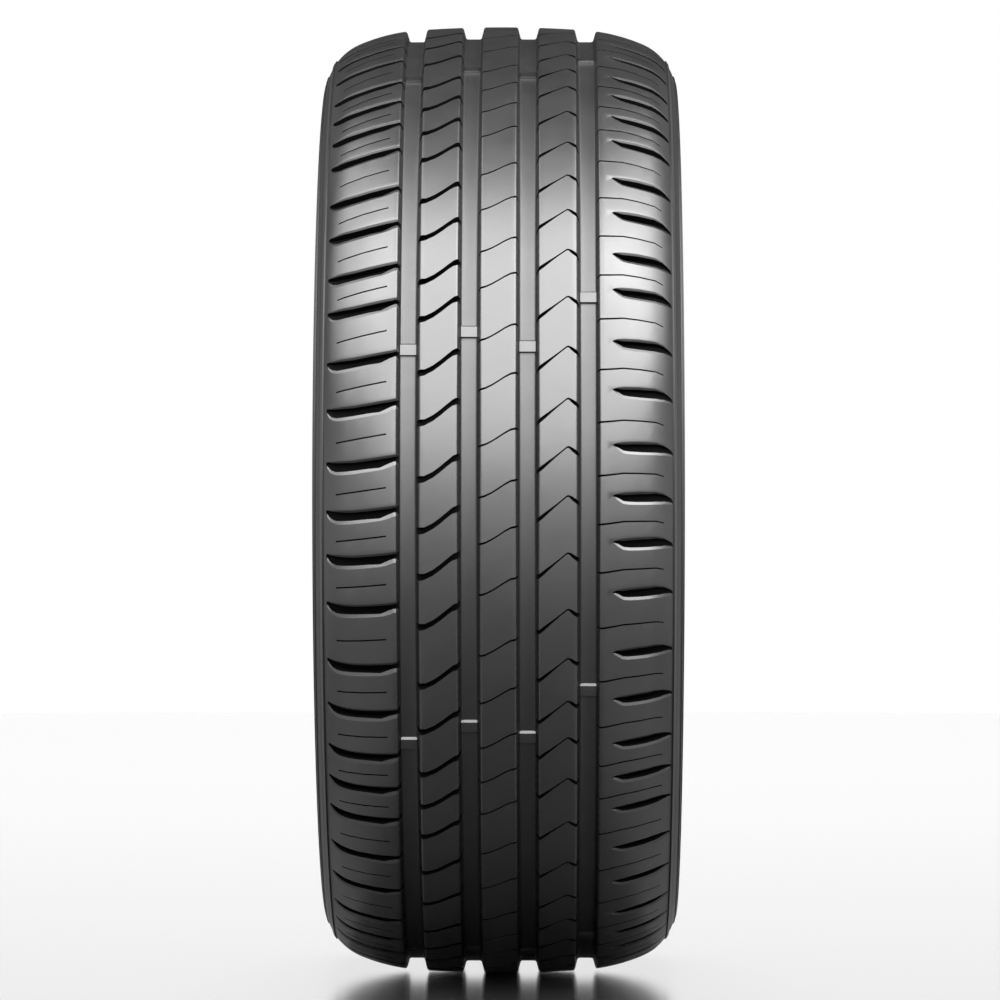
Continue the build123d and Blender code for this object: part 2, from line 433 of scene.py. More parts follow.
def crown_line(sizes):
    """Half of the tread surface without grooves, from the crown over the shoulder."""
    radius, crown = sizes.outer_radius / MM, sizes.crown_radius / MM
    groove = sizes.outer_groove / MM
    line = []
    for step in range(CROWN_STEPS + 1):
        side = groove * step / CROWN_STEPS
        line.append(Vector((radius - crown + math.sqrt(crown**2 - side**2), side)))
    heading = Vector((-groove, math.sqrt(crown**2 - groove**2)))
    edge = (radius - sizes.tread_edge_fall / MM, sizes.tread_edge / MM)
    tread, heading = tangent_arc(line[-1], heading, edge, CROWN_STEPS)
    buttress = (sizes.bead_seat_radius / MM + WIDEST_HEIGHT + BUTTRESS_RISE,
                sizes.half_width / MM - BUTTRESS_INSET)
    shoulder, _ = tangent_arc(edge, heading, buttress, 2 * CROWN_STEPS)
    return line + tread[1:] + shoulder[1:]


def groove_line(sizes, surface, centre):
    """A main groove from rib edge to rib edge, with rounded edges and feet."""
    opening, floor = sizes.groove_opening / MM / 2, sizes.groove_floor / MM / 2
    depth = surface(centre) - sizes.groove_depth / MM
    left, right = ([centre + way * opening, centre + way * (opening + 3)] for way in (-1, 1))
    corners = [(surface(side), side) for side in reversed(left)]
    corners += [(depth, centre - floor), (depth, centre), (depth, centre + floor)]
    corners += [(surface(side), side) for side in right]
    edge, foot = (sizes.groove_edge_radius / MM, 3), (sizes.groove_foot_radius / MM, 2)
    return rounded_line(corners, (edge, foot, (0, 1), foot, edge))[1:-1]


def tread_line(sizes):
    """The carved tread from its left edge to its right edge, grooves included."""
    table = [(point.y, point.x) for point in crown_line(sizes)]

    def surface(side):
        return between(table, side)

    def rib(sides):
        return [Vector((surface(side), side)) for side in sides]

    half = rib(MIDDLE_RIB)
    half += groove_line(sizes, surface, sizes.inner_groove / MM)
    half += rib(NEXT_RIB)
    half += groove_line(sizes, surface, sizes.outer_groove / MM)
    half += rib(SHOULDER)
    return [Vector((point.x, -point.y)) for point in reversed(half[1:])] + half


def side_line(sizes):
    """Rest of the right half of the section: sidewall, rim guard, bead and liner, with zones."""
    half_width, seat = sizes.half_width / MM, sizes.bead_seat_radius / MM
    radius = sizes.outer_radius / MM
    widest = (seat + WIDEST_HEIGHT, half_width)
    crown = crown_line(sizes)
    shoulder = [point for point in crown if point.y > CARVED_EDGE]
    upper, _ = tangent_arc(widest, (1, 0), shoulder[-1], steps=24)
    guard_side = half_width - GUARD_INSET
    guard = (seat + GUARD_TOP, guard_side)
    lower, _ = tangent_arc(widest, (-1, 0), guard, steps=24)
    edge = Vector((between([(p.y, p.x) for p in crown], CARVED_EDGE), CARVED_EDGE))
    curve = [edge] + shoulder + upper[::-1][1:] + lower[1:]
    lengths = [0.0]
    for here, there in zip(curve, curve[1:]):
        lengths.append(lengths[-1] + (there - here).length)
    across = [(s, p.x, p.y) for s, p in zip(lengths, curve)]
    total = lengths[-1]

    # Stations down the sidewall: the parting ring, two rings, a plain band and a lower ring
    def ring(start):
        return [(start, 0), (start + 0.5, RING_LIFT), (start + 1.5, RING_LIFT), (start + 2, 0)]

    stations = [(0.3, PARTING_LIFT), (2.7, PARTING_LIFT), (3.2, 0), (5.5, 0), (8.5, 0)]
    stations += ring(11.5) + ring(15)
    plain, low_ring = stations[-1][0], total - 10
    stations += [(plain + step * (low_ring - plain) / 8, 0) for step in range(1, 8)]
    stations += ring(low_ring) + [(total - 5, 0), (total - 2, 0)]
    side = []
    for length, lift in stations:
        here, ahead = (Vector((between(across, spot, 1), between(across, spot, 2)))
                       for spot in (length, length + 0.2))
        along = (ahead - here).normalized()
        side.append(here + Vector((along.y, -along.x)) * lift)

    flange = (seat + FLANGE_HEIGHT, half_width - FLANGE_INSET)
    toe = HEEL_SIDE - BEAD_BASE
    bead = [
        (seat + GUARD_TOP + 2, guard_side + 0.35), guard, (seat + GUARD_FOOT, guard_side), flange,
        (seat + HEEL_HEIGHT, HEEL_SIDE), (seat, HEEL_SIDE - HEEL_INSET), (seat, toe),
        (seat + TOE_HEIGHT, toe + TOE_LEAN), (flange[0], flange[1] - FILLER_WALL),
    ]
    bead = rounded_line(bead, BEAD_ROUNDINGS)[1:]
    liner_side = (widest[0], half_width - SIDE_WALL)
    liner_edge = (radius - LINER_EDGE_DEPTH, LINER_EDGE_SIDE)
    lower_liner, _ = tangent_arc(liner_side, (-1, 0), bead[-1], steps=3)
    upper_liner, _ = tangent_arc(liner_side, (1, 0), liner_edge, steps=4)
    crown_liner, _ = tangent_arc((radius - CROWN_WALL, 0), (0, 1), liner_edge, steps=5)
    liner = lower_liner[::-1][1:] + upper_liner[1:] + crown_liner[::-1][1:]
    parts = [(p, GROOVE) for p in side[:2]] + [(p, SIDEWALL) for p in side[2:] + bead]
    return parts + [(p, LINER) for p in liner]


# The moulding of one pitch

class PitchTile:
    """Mesh of one pitch of the whole section, laid out flat: every point has a radius, a side,
    a share of the pitch's length and a shift along the tread."""

    def __init__(self, sizes, pattern):
        self.groove_depth = sizes.groove_depth / MM
        ratios = [PITCH_RATIOS[letter] for letter in pattern.pitch_order]
        self.length = 2 * math.pi * (sizes.outer_radius / MM) / sum(ratios)
        middle = self.length / 2 + TILE_LEAD
        # Rows along the tile, their share of the pitch and their shift: the cuts keep their width
        # in every pitch, and the land between them stretches
        self.row_shares = [
            (0, 0, -TILE_LEAD), (TILE_LEAD - 1, 0, -1), (TILE_LEAD + 12, 0, 12),
            (middle + 1.8, 0.5, 1.8), (middle + 6.8, 0.5, 6.8), (self.length, 1, -TILE_LEAD),
        ]
        self.columns = [self.length * step / TILE_COLUMNS for step in range(TILE_COLUMNS + 1)]
        line = tread_line(sizes)
        self.profile = [(line[0].y, line[0].x, 0.0)]
        for here, there in zip(line, line[1:]):
            self.profile.append((there.y, there.x, self.profile[-1][2] + (there - here).length))
        self.unrolled = [(length, side) for side, _, length in self.profile]
        self.crown = [(point.y, point.x) for point in crown_line(sizes)]
        self.vertices, self.faces, self.zones = [], [], []

    def add_vertex(self, radius, side, row, shift=None):
        """A point at a radius and side, at a row along the pitch."""
        share = between(self.row_shares, row, 1)
        along = between(self.row_shares, row, 2)
        skew = between(PITCH_LINE, side) if shift is None else shift
        self.vertices.append((radius, side, share, along + skew))
        return len(self.vertices) - 1

    def add_face(self, corners, zone):
        """A face of three or four different points; fewer make none."""
        kept = [c for i, c in enumerate(corners) if c != corners[i - 1]]
        if len(set(kept)) > 2:
            self.faces.append(kept)
            self.zones.append(zone)

    def full_stations(self, cut):
        """Stations of a cut, carried on down the groove's wall at an open end."""
        stations = [list(station) for station in cut["stations"]]
        for place, end in ((0, cut["ends"][0]), (-1, cut["ends"][1])):
            if end != "open":
                continue
            side, upper, lower, depth = stations[place]
            step = -1 if place == 0 else 1
            rows = [row for row in self.profile if (row[0] - side) * step > 0][::step]
            rim = between(self.profile, side)
            past = [(side, 0.0)]
            for row in rows:
                past.append((row[0], rim - row[1]))
                if past[-1][1] >= depth:
                    break
            reach = between([(drop, spot) for spot, drop in past], depth)
            past = [(spot, drop) for spot, drop in past[1:] if drop < depth - FLOOR_ROOM]
            tail = []
            for spot, drop in past + [(reach, depth)]:
                inset = cut["draft"] * max(drop, 0) / depth
                tail.append([spot, upper + inset, lower - inset, depth])
            stations = tail[::-1] + stations if place == 0 else stations + tail
        return stations

    def carve(self):
        """The tread's skin with its cuts: a sheet of triangles with holes, a channel in each."""
        points, edges, rings = [], [], []

        def add_point(side, row):
            points.append(Vector((between(self.profile, side, 2), row)))
            return len(points) - 1

        for shape in CUTS.values():
            cut = {**PLAIN_CUT, **shape}
            stations = self.full_stations(cut)
            base = cut["share"] * self.length + TILE_LEAD
            upper = [add_point(s[0], base + s[1]) for s in stations]
            lower = [add_point(s[0], base + s[2]) for s in stations]
            ring = upper + lower[::-1]
            edges += runs_of(ring)
            rings.append((cut, stations, upper, lower, ring))

        outlines = [[points[i] for i in ring] for *_, ring in rings]
        ring_points = list(enumerate(points))
        for side, _, length in self.profile:
            row_points = [(p.y, i) for i, p in ring_points if abs(p.x - length) < TOLERANCE]
            for row in self.columns:
                inner = 0 < row < self.length and abs(side) < CARVED_EDGE
                spot = Vector((length, row))
                if not (inner and any(near_outline(spot, o, OUTLINE_ROOM) for o in outlines)):
                    row_points.append((row, add_point(side, row)))
            row_points.sort()
            for (low, a), (high, b) in zip(row_points, row_points[1:]):
                if not any(crosses(outline, length, low, high) for outline in outlines):
                    edges.append((a, b))
        for row in (0, -1):
            border = [i for i, p in enumerate(points) if abs(p.y - self.columns[row]) < 1e-9]
            border.sort(key=lambda i: points[i].x)
            edges += zip(border, border[1:])

        spots, _, triangles, origins, _, _ = delaunay_2d_cdt(points, edges, [], 0, TOLERANCE, True)
        if any(not origin for origin in origins):
            raise RuntimeError("two lines of the tread cross away from their points")
        made, of_point = [], {}
        for spot, origin in zip(spots, origins):
            side = between(self.unrolled, spot.x)
            made.append(self.add_vertex(between(self.profile, side), side, spot.y))
            for index in origin:
                of_point[index] = made[-1]
        for triangle in triangles:
            middle = sum((Vector(spots[i]) for i in triangle), Vector((0, 0))) / 3
            if not any(inside(middle, outline) for outline in outlines):
                side = between(self.unrolled, middle.x)
                sunk = between(self.crown, abs(side)) - between(self.profile, side)
                wall = SIDEWALL if sunk < self.groove_depth - GROOVE_FOOT else GROOVE
                self.add_face([made[i] for i in triangle], TREAD if sunk < GROOVE_EDGE else wall)
        for cut, stations, upper, lower, _ in rings:
            self.channel(cut, stations, [of_point[i] for i in upper], [of_point[i] for i in lower])

    def channel(self, cut, stations, upper, lower):
        """Rounded upper edge, walls, floor and lip of one cut below its outline."""
        base = cut["share"] * self.length + TILE_LEAD
        first, last = cut["stations"][0][0], cut["stations"][-1][0]
        rows = []
        for place, (side, up, low, depth) in enumerate(stations):
            end = place in (0, len(stations) - 1)
            if end and cut["ends"][0 if place == 0 else 1] != "closed":
                rows.append([upper[place]] * (len(cut["brow"]) + 2) + [lower[place]] * 3)
                continue
            rim = between(self.profile, side)
            floor = between(self.profile, min(max(side, first), last)) - depth
            room, drop = low - up, rim - floor
            row, brow = [upper[place]], 0
            grown = min(1, (depth / FULL_BROW_DEPTH) ** 2)
            for width, fall in cut["brow"]:
                brow = min(width, room * BROW_SHARE * width / cut["brow"][-1][0]) * grown
                fall = min(fall, drop * BROW_SHARE) * grown
                row.append(self.add_vertex(rim - fall, side, base + up + brow))
            lip, width = lower[place], 0
            if cut["lip"]:
                width = min(between(cut["lip"], side), room * LIP_SHARE)
                fall = min(between(cut["lip"], side, 2), drop / 2)
                lip = self.add_vertex(rim - fall, side, base + low - width)
            inset = min(cut["draft"], room * DRAFT_SHARE)
            row.append(self.add_vertex(floor, side, base + up + brow + inset))
            row.append(self.add_vertex(floor, side, base + low - width - inset))
            rows.append(row + [lip, lower[place]])
        brows = len(cut["brow"])
        # Walls, floor and closed ends of a cut take the darkened slot rubber: painted shade inside
        # the cut
        zones = [TREAD, SIDEWALL][:brows] + [SHADED_SLOT, SHADED_SLOT, SHADED_SLOT, LIP]
        for here, there in zip(rows, rows[1:]):
            for k, zone in enumerate(zones):
                self.add_face([here[k], there[k], there[k + 1], here[k + 1]], zone)
        for row, kind in ((rows[0], cut["ends"][0]), (rows[-1], cut["ends"][1])):
            if kind == "closed":
                self.add_face([row[0], row[-1], row[-3], row[brows + 1]], SHADED_SLOT)

    def rings(self, sizes):
        """Sidewalls, beads and liner as rings of four-sided faces from tread edge to tread edge."""
        side, radius, _ = self.profile[-1]
        right = [(Vector((radius, side)), SIDEWALL)] + side_line(sizes)
        loop = right + [(Vector((p.x, -p.y)), zone) for p, zone in reversed(right[:-1])]
        skew_left, skew_right = between(PITCH_LINE, -side), between(PITCH_LINE, side)
        edge = max(abs(p.y) for p, zone in right if zone == LINER)
        made = []
        for spot, _ in loop:
            part = min(max((spot.y + edge) / (2 * edge), 0), 1)
            skew = skew_left + (skew_right - skew_left) * part
            made.append([self.add_vertex(spot.x, spot.y, row, skew) for row in self.columns])
        for i in range(len(loop) - 1):
            kinds = (loop[i][1], loop[i + 1][1])
            zone = LINER if LINER in kinds else kinds[0] if kinds[0] == kinds[1] else SIDEWALL
            for j in range(TILE_COLUMNS):
                near, far = made[i][j:j + 2], made[i + 1][j:j + 2]
                self.add_face([near[0], far[0], far[1], near[1]], zone)

    def mesh(self):
        """The tile as a mesh: x is the radius and y the side; the rest is in attributes."""
        data = bpy.data.meshes.new("pitch_tile")
        data.from_pydata([(r * MM, s * MM, 0) for r, s, _, _ in self.vertices], [], self.faces)
        add_attribute(data, "pitch_share", [v[2] for v in self.vertices])
        add_attribute(data, "pitch_shift", [v[3] * MM for v in self.vertices])
        add_attribute(data, "zone", self.zones, "INT", "FACE")
        return data


def runs_of(outline):
    """Runs of a closed outline from point to point."""
    return zip(outline, outline[1:] + outline[:1])


def near_outline(spot, outline, room):
    """Whether a spot lies inside an outline or within some room of it."""
    if inside(spot, outline):
        return True
    for here, there in runs_of(outline):
        run = there - here
        part = 0
        if run.length > 1e-9:
            part = min(max((spot - here).dot(run) / run.length_squared, 0), 1)
        if (here + run * part - spot).length < room:
            return True
    return False


def crosses(outline, length, low, high):
    """Whether an outline crosses a row of points between two of them."""
    for here, there in runs_of(outline):
        near, far = min(here.x, there.x), max(here.x, there.x)
        if near < length - TOLERANCE and far > length + TOLERANCE:
            row = here.y + (there.y - here.y) * (length - here.x) / (there.x - here.x)
            if low < row < high:
                return True
    return False


def inside(spot, outline):
    """Whether a spot lies inside a closed outline."""
    found = False
    for here, there in runs_of(outline):
        if (here.y > spot.y) != (there.y > spot.y):
            if spot.x < here.x + (there.x - here.x) * (spot.y - here.y) / (there.y - here.y):
                found = not found
    return found


# Objects, attributes and node trees

def add_object(name, data):
    """An object in the scene."""
    made = bpy.data.objects.new(name, data)
    bpy.context.scene.collection.objects.link(made)
    return made


def add_attribute(mesh, name, values, kind="FLOAT", domain="POINT"):
    """A named attribute of a mesh."""
    mesh.attributes.new(name, kind, domain).data.foreach_set("value", values)


def point_mesh(name, spots, **attributes):
    """A mesh of loose points with attributes."""
    mesh = bpy.data.meshes.new(name)
    mesh.from_pydata(spots, [], [])
    for key, values in attributes.items():
        add_attribute(mesh, key, values)
    return mesh


def new_tree(name, kind, inputs, outputs):
    """An empty node tree. A socket has a name and a kind, and an input may have a value."""
    tree = bpy.data.node_groups.new(name, kind)
    for way, sockets in (("INPUT", inputs), ("OUTPUT", outputs)):
        for label, sort, *value in sockets:
            socket = tree.interface.new_socket(
                name=label, in_out=way, socket_type="NodeSocket" + sort)
            if value:
                socket.default_value = value[0]
    return tree


def add_node(tree, kind, inputs=None, **settings):
    """A node in the next free place, with settings and inputs. An input is a value, a socket to
    link, or a node to link by its first output."""
    row, column = divmod(len(tree.nodes), NODES_IN_ROW)
    node = tree.nodes.new(kind)
    node.location = (NODE_SPACING[0] * column, -NODE_SPACING[1] * row)
    for name, value in settings.items():
        setattr(node, name, value)
    for key, value in (inputs or {}).items():
        if isinstance(value, bpy.types.Node):
            value = value.outputs[0]
        if isinstance(value, bpy.types.NodeSocket):
            tree.links.new(value, node.inputs[key])
        else:
            node.inputs[key].default_value = value
    return node


def maths(tree, operation, a, b=0.0):
    """A node that works out a number."""
    return add_node(tree, "ShaderNodeMath", {0: a, 1: b}, operation=operation)


def stored(tree, name, kind="FLOAT"):
    """A named attribute of a geometry tree."""
    node = add_node(tree, "GeometryNodeInputNamedAttribute", {"Name": name}, data_type=kind)
    return node.outputs["Attribute"]


def copies(tree, points, piece, **turn):
    """Copies of an object on points, made real."""
    shape = add_node(tree, "GeometryNodeObjectInfo", {"Object": piece}).outputs["Geometry"]
    placed = add_node(tree, "GeometryNodeInstanceOnPoints", {
        "Points": points, "Instance": shape, **turn})
    return add_node(tree, "GeometryNodeRealizeInstances", {"Geometry": placed})


def pitch_tree():
    """Geometry nodes that set a tile at each pitch and bend it round the spin axis."""
    sizes = [("Tread Radius", "Float"), ("Weld Distance", "Float")]
    rubbers = [(name + " Rubber", "Material") for name in ZONES]
    tree = new_tree(
        "Tyre Pitches", "GeometryNodeTree",
        [("Pitch Points", "Geometry"), ("Pitch Tile", "Object")] + sizes + rubbers,
        [("Tyre", "Geometry")])
    given = add_node(tree, "NodeGroupInput").outputs
    tiles = copies(tree, given["Pitch Points"], given["Pitch Tile"])
    shift = maths(tree, "DIVIDE", stored(tree, "pitch_shift"), given["Tread Radius"])
    part = maths(tree, "MULTIPLY", stored(tree, "pitch_share"), stored(tree, "pitch_length"))
    angle = maths(tree, "ADD", maths(tree, "ADD", shift, part), stored(tree, "pitch_start"))
    place = add_node(tree, "GeometryNodeInputPosition")
    spot = add_node(tree, "ShaderNodeSeparateXYZ", {0: place}).outputs
    out = maths(tree, "MULTIPLY", spot["X"], maths(tree, "COSINE", angle))
    down = maths(tree, "MULTIPLY", spot["X"], maths(tree, "SINE", angle))
    bent = add_node(tree, "ShaderNodeCombineXYZ", {
        "X": out, "Y": spot["Y"], "Z": maths(tree, "MULTIPLY", down, -1.0)})
    flow = add_node(tree, "GeometryNodeSetPosition", {"Geometry": tiles, "Position": bent})
    flow = add_node(tree, "GeometryNodeMergeByDistance", {
        "Geometry": flow, "Distance": given["Weld Distance"]})
    flow = add_node(tree, "GeometryNodeSetShadeSmooth", {"Geometry": flow})
    zone = stored(tree, "zone", "INT")
    for number, name in enumerate(ZONES):
        # Inputs 2 and 3 are the whole numbers to compare
        match = add_node(tree, "FunctionNodeCompare", {
            2: zone, 3: number}, data_type="INT", operation="EQUAL")
        flow = add_node(tree, "GeometryNodeSetMaterial", {
            "Geometry": flow, "Selection": match, "Material": given[name + " Rubber"]})
    add_node(tree, "NodeGroupOutput", {"Tyre": flow})
    return tree


def bar_tree():
    """Geometry nodes that set a wear bar at each point, turned round the spin axis."""
    tree = new_tree(
        "Wear Bars", "GeometryNodeTree",
        [("Bar Points", "Geometry"), ("Bar", "Object"), ("Rubber", "Material")],
        [("Bars", "Geometry")])
    given = add_node(tree, "NodeGroupInput").outputs
    spin = add_node(tree, "ShaderNodeCombineXYZ", {"Y": stored(tree, "bar_turn")})
    bars = copies(tree, given["Bar Points"], given["Bar"], Rotation=spin)
    coated = add_node(tree, "GeometryNodeSetMaterial", {
        "Geometry": bars, "Material": given["Rubber"]})
    add_node(tree, "NodeGroupOutput", {"Bars": coated})
    return tree


def grown_mesh(base, tree, values, name):
    """Runs a geometry tree on a base mesh and returns the result as a plain mesh."""
    carrier = add_object(name + "_points", base)
    nodes = carrier.modifiers.new("Grow", "NODES")
    nodes.node_group = tree
    for socket in tree.interface.items_tree:
        if socket.in_out == "INPUT" and socket.name in values:
            nodes[socket.identifier] = values[socket.name]
    bpy.context.view_layer.update()
    graph = bpy.context.evaluated_depsgraph_get()
    grown = bpy.data.meshes.new_from_object(carrier.evaluated_get(graph), depsgraph=graph)
    grown.name = name
    bpy.data.objects.remove(carrier)
    return grown


def add_piece(name, mesh):
    """A finished piece in the scene, riding on the tyre's body."""
    piece = add_object(name, mesh)
    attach(piece, BODY)
    return piece


def drop_attributes(mesh, names):
    """Takes the working attributes off a finished mesh."""
    for name in names:
        if name in mesh.attributes:
            mesh.attributes.remove(mesh.attributes[name])


# Rubber finishes

def new_material(name):
    """A material and its node tree, still empty."""
    material = bpy.data.materials.new(name)
    material.use_nodes = True
    material.node_tree.nodes.clear()
    return material, material.node_tree


def rubber_grain():
    """Moulded grain at real scale: fine height noise, streaks across the tread, slow patches."""
    group = bpy.data.node_groups.get("Rubber Grain")
    if group:
        return group
    noises = {"Grain": (0.6, 3), "Streaks": (1.1, 2), "Patches": (30, 4)}
    group = new_tree(
        "Rubber Grain", "ShaderNodeTree",
        [(name + " Size", "Float", size * MM) for name, (size, _) in noises.items()],
        [(name, "Float") for name in noises])
    given = add_node(group, "NodeGroupInput").outputs
    place = add_node(group, "ShaderNodeTexCoord").outputs["Object"]
    drawn = add_node(group, "ShaderNodeVectorMath", {
        0: place, 1: STREAK_DRAW}, operation="MULTIPLY")
    results = {}
    for name, (_, detail) in noises.items():
        noise = add_node(group, "ShaderNodeTexNoise", {
            "Vector": drawn if name == "Streaks" else place,
            "Scale": maths(group, "DIVIDE", 1.0, given[name + " Size"]),
            "Detail": detail, "Roughness": 0.58})
        results[name] = noise.outputs["Fac"]
    add_node(group, "NodeGroupOutput", results)
    return group


def rubber(name):
    """One of the rubbers: cloudy colour, streaked gloss and a moulded grain."""
    material = bpy.data.materials.get(name)
    if material:
        return material
    setting, rough, specular, coat, grain_size, bump, shoulder_coat = RUBBERS[name]
    colour = getattr(bpy.context.scene.rubber_finish, setting)[:3]
    material, tree = new_material(name)
    grain = add_node(tree, "ShaderNodeGroup", node_tree=rubber_grain())
    grain.inputs["Grain Size"].default_value = grain_size * MM
    # Inputs 6 and 7 and output 2 of a mix are its colours
    dark, light = ([c * share for c in colour] + [1] for share in CLOUD_RANGE)
    tint = add_node(tree, "ShaderNodeMix", {
        0: grain.outputs["Patches"], 6: dark, 7: light}, data_type="RGBA")
    gloss = add_node(tree, "ShaderNodeMapRange", {
        "Value": maths(tree, "ADD", grain.outputs["Streaks"], grain.outputs["Patches"]),
        "From Min": WEAR_RANGE[0], "From Max": WEAR_RANGE[1],
        "To Min": rough[0], "To Max": rough[1]})
    relief = add_node(tree, "ShaderNodeBump", {
        "Strength": bump, "Distance": GRAIN_DEPTH * MM, "Height": grain.outputs["Grain"]})
    skin = add_node(tree, "ShaderNodeBsdfPrincipled", {
        "Base Color": tint.outputs[2], "Roughness": gloss, "Normal": relief,
        "Specular IOR Level": specular, "Coat Weight": coat[0], "Coat Roughness": coat[1]})
    if shoulder_coat is not None:
        place = add_node(tree, "ShaderNodeTexCoord").outputs["Object"]
        side = add_node(tree, "ShaderNodeSeparateXYZ", {0: place}).outputs["Y"]
        fade = add_node(tree, "ShaderNodeMapRange", {
            "Value": maths(tree, "ABSOLUTE", side),
            "From Min": SHOULDER_FADE[0] * MM, "From Max": SHOULDER_FADE[1] * MM,
            "To Min": coat[0], "To Max": shoulder_coat})
        tree.links.new(fade.outputs[0], skin.inputs["Coat Weight"])
    add_node(tree, "ShaderNodeOutputMaterial", {"Surface": skin})
    return material


# Operators

class TYRE_OT_moulding(bpy.types.Operator):
    """Build the moulded tyre from one pitch of its section, repeated round the spin axis"""

    bl_idname = "tyre.moulding"
    bl_label = "Tyre Moulding"

    def execute(self, context):
        sizes, pattern = context.scene.tyre_sizes, context.scene.tread_pattern
        tile = PitchTile(sizes, pattern)
        tile.carve()
        tile.rings(sizes)
        holder = add_object("pitch_tile", tile.mesh())

        ratios = [PITCH_RATIOS[letter] for letter in pattern.pitch_order]
        lengths = [2 * math.pi * ratio / sum(ratios) for ratio in ratios]
        starts = [pattern.first_pitch_angle + sum(lengths[:k]) for k in range(len(lengths))]
        points = point_mesh("pitch_points", [(0, 0, 0)] * len(starts),
                            pitch_start=starts, pitch_length=lengths)

        values = {name + " Rubber": rubber(finish) for name, finish in ZONES.items()}
        values.update({"Pitch Tile": holder, "Tread Radius": sizes.outer_radius,
                       "Weld Distance": WELD_DISTANCE * MM})
        mesh = grown_mesh(points, pitch_tree(), values, "tyre_moulding")
        bpy.data.objects.remove(holder)
        self.close(mesh)
        piece = add_piece("tyre_moulding", mesh)
        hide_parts(NODE)
        return {"FINISHED"}

    def close(self, mesh):
        """Turns the faces outwards, marks the sharp edges and tests that the skin is closed."""
        work = bmesh.new()
        work.from_mesh(mesh)
        bmesh.ops.recalc_face_normals(work, faces=work.faces)
        open_edges = sum(1 for edge in work.edges if not edge.is_manifold)
        if open_edges:
            raise RuntimeError(f"the tyre's skin has {open_edges} open edges")
        zone = work.faces.layers.int["zone"]
        for edge in work.edges:
            sides = [face[zone] for face in edge.link_faces]
            edge.smooth = sides.count(LIP) != 1 and edge.calc_face_angle() < SHARP_ANGLE
        work.to_mesh(mesh)
        work.free()
        drop_attributes(mesh, ("pitch_share", "pitch_shift", "pitch_start", "pitch_length", "zone"))


class TYRE_OT_wear_bars(bpy.types.Operator):
    """Set the wear bars across the floors of the main grooves"""

    bl_idname = "tyre.wear_bars"
    bl_label = "Wear Bars"

    def execute(self, context):
        sizes, pattern = context.scene.tyre_sizes, context.scene.tread_pattern
        foot, ends, sunk = sizes.groove_floor / 2, pattern.bar_length / 2, BAR_SUNK * MM
        corners = []
        for end, inset, share in BAR_OUTLINE:
            along, level = end * (ends - inset * MM), pattern.bar_height * share
            corners += [(-sunk, -foot - sunk, along), (level, -foot, along),
                        (level, foot, along), (-sunk, foot + sunk, along)]
        faces = [(3, 2, 1, 0), tuple(len(corners) - 4 + corner for corner in range(4))]
        for first in range(0, len(corners) - 4, 4):
            for here, there in ((0, 1), (1, 2), (2, 3), (3, 0)):
                faces.append((first + here, first + there, first + there + 4, first + here + 4))
        bar = bpy.data.meshes.new("wear_bar")
        bar.from_pydata(corners, [], faces)
        bar.shade_smooth()
        bar.set_sharp_from_angle(angle=BAR_SHARP_ANGLE)
        holder = add_object("wear_bar", bar)

        surface = [(point.y * MM, point.x * MM) for point in crown_line(sizes)]
        centres = (-sizes.outer_groove, -sizes.inner_groove, sizes.inner_groove, sizes.outer_groove)
        spots, turns = [], []
        for side, (first, second) in zip(centres, BAR_ANGLES):
            floor = between(surface, abs(side)) - sizes.groove_depth
            step = (360 - (second - first)) / (BARS_PER_GROOVE - 1)
            for number in range(BARS_PER_GROOVE):
                turn = math.radians(second + step * number)
                spots.append((floor * math.cos(turn), side, -floor * math.sin(turn)))
                turns.append(turn)
        points = point_mesh("bar_points", spots, bar_turn=turns)
        values = {"Bar": holder, "Rubber": rubber("tread_rubber")}
        mesh = grown_mesh(points, bar_tree(), values, "wear_bars")
        bpy.data.objects.remove(holder)
        work = bmesh.new()
        work.from_mesh(mesh)
        bmesh.ops.recalc_face_normals(work, faces=work.faces)
        work.to_mesh(mesh)
        work.free()
        drop_attributes(mesh, ["bar_turn"])
        add_piece("wear_bars", mesh)
        return {"FINISHED"}


